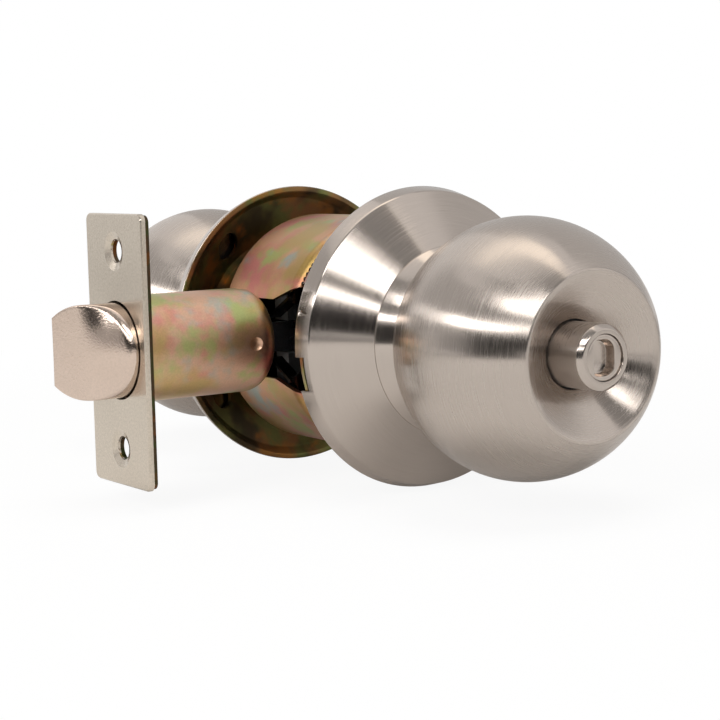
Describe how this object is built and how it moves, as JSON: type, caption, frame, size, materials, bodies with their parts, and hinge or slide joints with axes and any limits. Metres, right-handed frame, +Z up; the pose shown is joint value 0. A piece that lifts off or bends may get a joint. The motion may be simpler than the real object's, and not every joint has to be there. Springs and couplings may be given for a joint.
{
  "type": "entrance door knob lock",
  "caption": "Bored knob lock for an entrance door: ball knobs on conical roses, a drum chassis with retractor, a spring latch, a push and turn button and a key cylinder.",
  "frame": {"origin": "where the knob axis crosses the latch axis, in the middle of the door's cross bore", "axes": "+Y along the knob axis towards the outside knob, +X away from the door's edge, +Z up"},
  "size_m": [0.104, 0.1718, 0.065],
  "materials": {
    "satin_stainless": "brushed",
    "nickel_plate": "satin",
    "yellow_chromate": "satin",
    "black_steel": "satin",
    "zinc_casting": "matte",
    "zinc_plated_steel": "satin",
    "spring_steel": "satin",
    "cylinder_brass": "satin",
    "black_nylon": "matte"
  },
  "bodies": {
    "chassis_body": {"faceplate": "nickel_plate", "faceplate_backing": "yellow_chromate", "latch_tube": "yellow_chromate", "latch_guide": "black_nylon", "latch_spring": "spring_steel", "chassis_drum": "yellow_chromate", "outside_hub": "yellow_chromate", "inside_hub": "black_steel", "retractor_cage": "black_steel", "retractor_springs": "spring_steel", "pillars": "zinc_plated_steel", "mounting_screws": "zinc_plated_steel", "lock_ring": "black_steel", "inside_mounting_plate": "yellow_chromate", "inside_rose": "satin_stainless", "outside_rose": "satin_stainless", "outside_rose_liner": "yellow_chromate"},
    "inside_knob_body": {"inside_knob": "satin_stainless", "inside_knob_insert": "zinc_casting", "inside_spindle": "zinc_plated_steel", "inside_knob_catch": "spring_steel", "button_bush": "black_nylon", "button_spring": "spring_steel"},
    "button_body": {"push_button": "satin_stainless"},
    "turn_body": {"turn_piece": "satin_stainless", "locking_stem": "zinc_plated_steel"},
    "retractor_body": {"retractor": "zinc_casting"},
    "latch_body": {"latch_bolt": "nickel_plate", "latch_tail": "zinc_plated_steel"},
    "outside_knob_body": {"outside_knob": "satin_stainless", "outside_knob_insert": "zinc_casting", "outside_spindle": "zinc_plated_steel", "outside_knob_catch": "spring_steel", "cylinder_barrel": "nickel_plate", "driver_pins": "cylinder_brass", "pin_springs": "spring_steel"},
    "plug_body": {"key_plug": "nickel_plate", "key_pins": "cylinder_brass", "plug_clip": "zinc_plated_steel", "tailpiece": "zinc_plated_steel"}
  },
  "joints": [
    {"name": "inside_knob_turn", "type": "hinge", "parent": "chassis_body", "child": "inside_knob_body", "pos_m": [0, 0, 0], "axis": [0, 1, 0], "range_deg": [0, 60], "stiffness_Nm_per_rad": 0.3},
    {"name": "latch_slide", "type": "slide", "parent": "chassis_body", "child": "latch_body", "axis": [1, 0, 0], "range_m": [0, 0.0115], "deforming": ["latch_spring"]},
    {"name": "retractor_slide", "type": "slide", "parent": "chassis_body", "child": "retractor_body", "axis": [1, 0, 0], "range_m": [0, 0.0115], "deforming": ["retractor_springs"]},
    {"name": "button_push", "type": "slide", "parent": "inside_knob_body", "child": "button_body", "axis": [0, 1, 0], "range_m": [0, 0.004], "stiffness_N_per_m": 300, "deforming": ["button_spring"]},
    {"name": "button_turn", "type": "hinge", "parent": "button_body", "child": "turn_body", "pos_m": [0, -0.0846, 0], "axis": [0, 1, 0], "range_deg": [0, 90]},
    {"name": "outside_knob_turn", "type": "hinge", "parent": "chassis_body", "child": "outside_knob_body", "pos_m": [0, 0, 0], "axis": [0, 1, 0], "range_deg": [-60, 60], "stiffness_Nm_per_rad": 0.3},
    {"name": "key_turn", "type": "hinge", "parent": "outside_knob_body", "child": "plug_body", "pos_m": [0, 0.085, 0], "axis": [0, 1, 0], "range_deg": [-90, 90]}
  ],
  "couplings": [
    {"joint": "latch_slide", "follows": "inside_knob_turn", "m_per_rad": 0.01098},
    {"joint": "retractor_slide", "follows": "inside_knob_turn", "m_per_rad": 0.01098}
  ]
}
